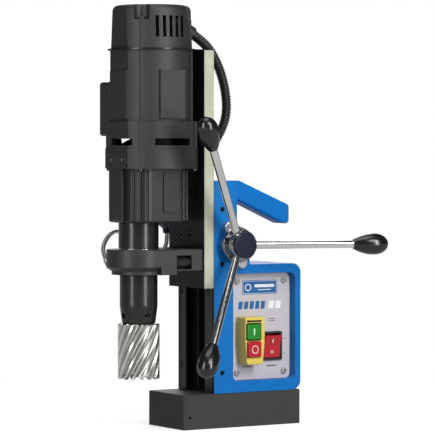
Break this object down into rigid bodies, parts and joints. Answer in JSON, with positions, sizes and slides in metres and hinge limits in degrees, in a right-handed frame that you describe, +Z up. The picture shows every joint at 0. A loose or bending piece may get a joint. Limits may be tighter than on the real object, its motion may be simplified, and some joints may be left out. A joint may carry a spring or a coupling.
{
  "type": "magnetic drill press",
  "caption": "Magnetic-base drill press: electromagnet foot, dovetail column, rack-fed motor carriage with capstan handle, and a keyed arbor holding an annular cutter.",
  "frame": {"origin": "centre of the magnet's underside", "axes": "+Z up along the column, -Y towards the spindle, +X towards the feed capstan and the control panel"},
  "size_m": [0.2151, 0.3066, 0.4857],
  "materials": {
    "magnet_steel": "semi-gloss black",
    "copper_winding": "enamelled wire",
    "epoxy": "cast resin",
    "blue_paint": "gloss",
    "ground_steel": "ground",
    "gib_steel": "ground",
    "black_screw": "black oxide",
    "zinc_screw": "zinc plated",
    "panel_silver": "satin foil",
    "yellow_plastic": "moulded",
    "green_plastic": "moulded",
    "red_plastic": "moulded",
    "black_plastic": "moulded",
    "circuit_green": "solder resist",
    "black_casting": "satin enamel",
    "chrome": "polished",
    "dark_chrome": "polished",
    "bearing_steel": "ground",
    "laminations": "stacked",
    "carbon": "sintered",
    "navy_plastic": "blow moulded",
    "black_rubber": "corrugated",
    "clear_tube": "clear vinyl",
    "high_speed_steel": "ground bright",
    "knob_black": "polished",
    "brass_part": "turned"
  },
  "bodies": {
    "base": {"magnet_base": "magnet_steel", "magnet_coil": "copper_winding", "coil_potting": "epoxy", "housing": "blue_paint", "guide_block": "gib_steel", "gib_strip_left": "gib_steel", "gib_strip_right": "gib_steel", "gib_screws": "black_screw", "gib_adjust_screws": "black_screw", "base_bolts": "black_screw", "carry_handle": "blue_paint", "control_panel": "panel_silver", "panel_screws": "zinc_screw", "switch_housing": "yellow_plastic", "rocker_bezel": "black_plastic", "circuit_board": "circuit_green", "mains_gland": "black_plastic", "conduit_gland_lower": "black_plastic", "pinion_bush": "chrome"},
    "carriage": {"carriage_plate": "ground_steel", "dovetail_slide": "gib_steel", "slide_screws": "black_screw", "feed_rack": "bearing_steel", "spindle_bracket": "black_casting", "bracket_bolts": "black_screw", "quill_tube": "black_casting", "spindle_bearings": "bearing_steel", "gearbox_case": "black_plastic", "motor_flange": "black_plastic", "flange_screws": "zinc_screw", "motor_body": "black_plastic", "stator": "laminations", "carbon_brushes": "carbon", "stay_plate": "black_screw", "motor_cap": "black_plastic", "cap_screws": "zinc_screw", "conduit_gland_upper": "black_plastic", "speed_module": "black_plastic", "rating_plate": "panel_silver", "coolant_bottle": "navy_plastic", "bottle_cap": "black_plastic", "bottle_bracket": "black_casting", "coolant_nipple": "brass_part", "conduit_hose": "black_rubber", "coolant_tube": "clear_tube", "armature_bearings": "bearing_steel"},
    "capstan": {"pinion_shaft": "bearing_steel", "hub": "dark_chrome", "hub_cap": "knob_black", "spokes": "chrome", "knobs": "knob_black"},
    "spindle": {"arbor": "black_casting", "set_screws": "black_screw", "annular_cutter": "high_speed_steel", "spindle_gear": "bearing_steel"},
    "layshaft": {"intermediate_gear": "bearing_steel"},
    "rotor": {"armature": "laminations"},
    "start_button": {"start_button": "green_plastic"},
    "stop_button": {"stop_button": "red_plastic"},
    "magnet_rocker": {"rocker_switch": "red_plastic"}
  },
  "joints": [
    {"name": "carriage_slide", "type": "slide", "parent": "base", "child": "carriage", "axis": [0, 0, 1], "range_m": [-0.112, 0.03], "deforming": ["conduit_hose"]},
    {"name": "capstan_turn", "type": "hinge", "parent": "base", "child": "capstan", "pos_m": [0.04, -0.0137, 0.2113], "axis": [1, 0, 0], "range_deg": [-192, 714]},
    {"name": "spindle_spin", "type": "hinge", "parent": "carriage", "child": "spindle", "pos_m": [0, -0.1161, 0.2], "axis": [0, 0, 1], "continuous": true},
    {"name": "layshaft_spin", "type": "hinge", "parent": "carriage", "child": "layshaft", "pos_m": [0.0182, -0.102, 0.25], "axis": [0, 0, 1], "continuous": true},
    {"name": "rotor_spin", "type": "hinge", "parent": "carriage", "child": "rotor", "pos_m": [0, -0.0987, 0.35], "axis": [0, 0, 1], "continuous": true},
    {"name": "start_press", "type": "slide", "parent": "base", "child": "start_button", "axis": [-1, 0, 0], "range_m": [0, 0.0015], "stiffness_N_per_m": 500, "springref_m": -0.002},
    {"name": "stop_press", "type": "slide", "parent": "base", "child": "stop_button", "axis": [-1, 0, 0], "range_m": [0, 0.003], "stiffness_N_per_m": 500, "springref_m": -0.002},
    {"name": "rocker_tip", "type": "hinge", "parent": "base", "child": "magnet_rocker", "pos_m": [0.028, 0.0465, 0.0915], "axis": [0, 1, 0], "range_deg": [-20, 0]}
  ],
  "couplings": [
    {"joint": "capstan_turn", "follows": "carriage_slide", "rad_per_m": -111.11},
    {"joint": "layshaft_spin", "follows": "spindle_spin", "ratio": -3.6},
    {"joint": "rotor_spin", "follows": "spindle_spin", "ratio": 9.72}
  ]
}
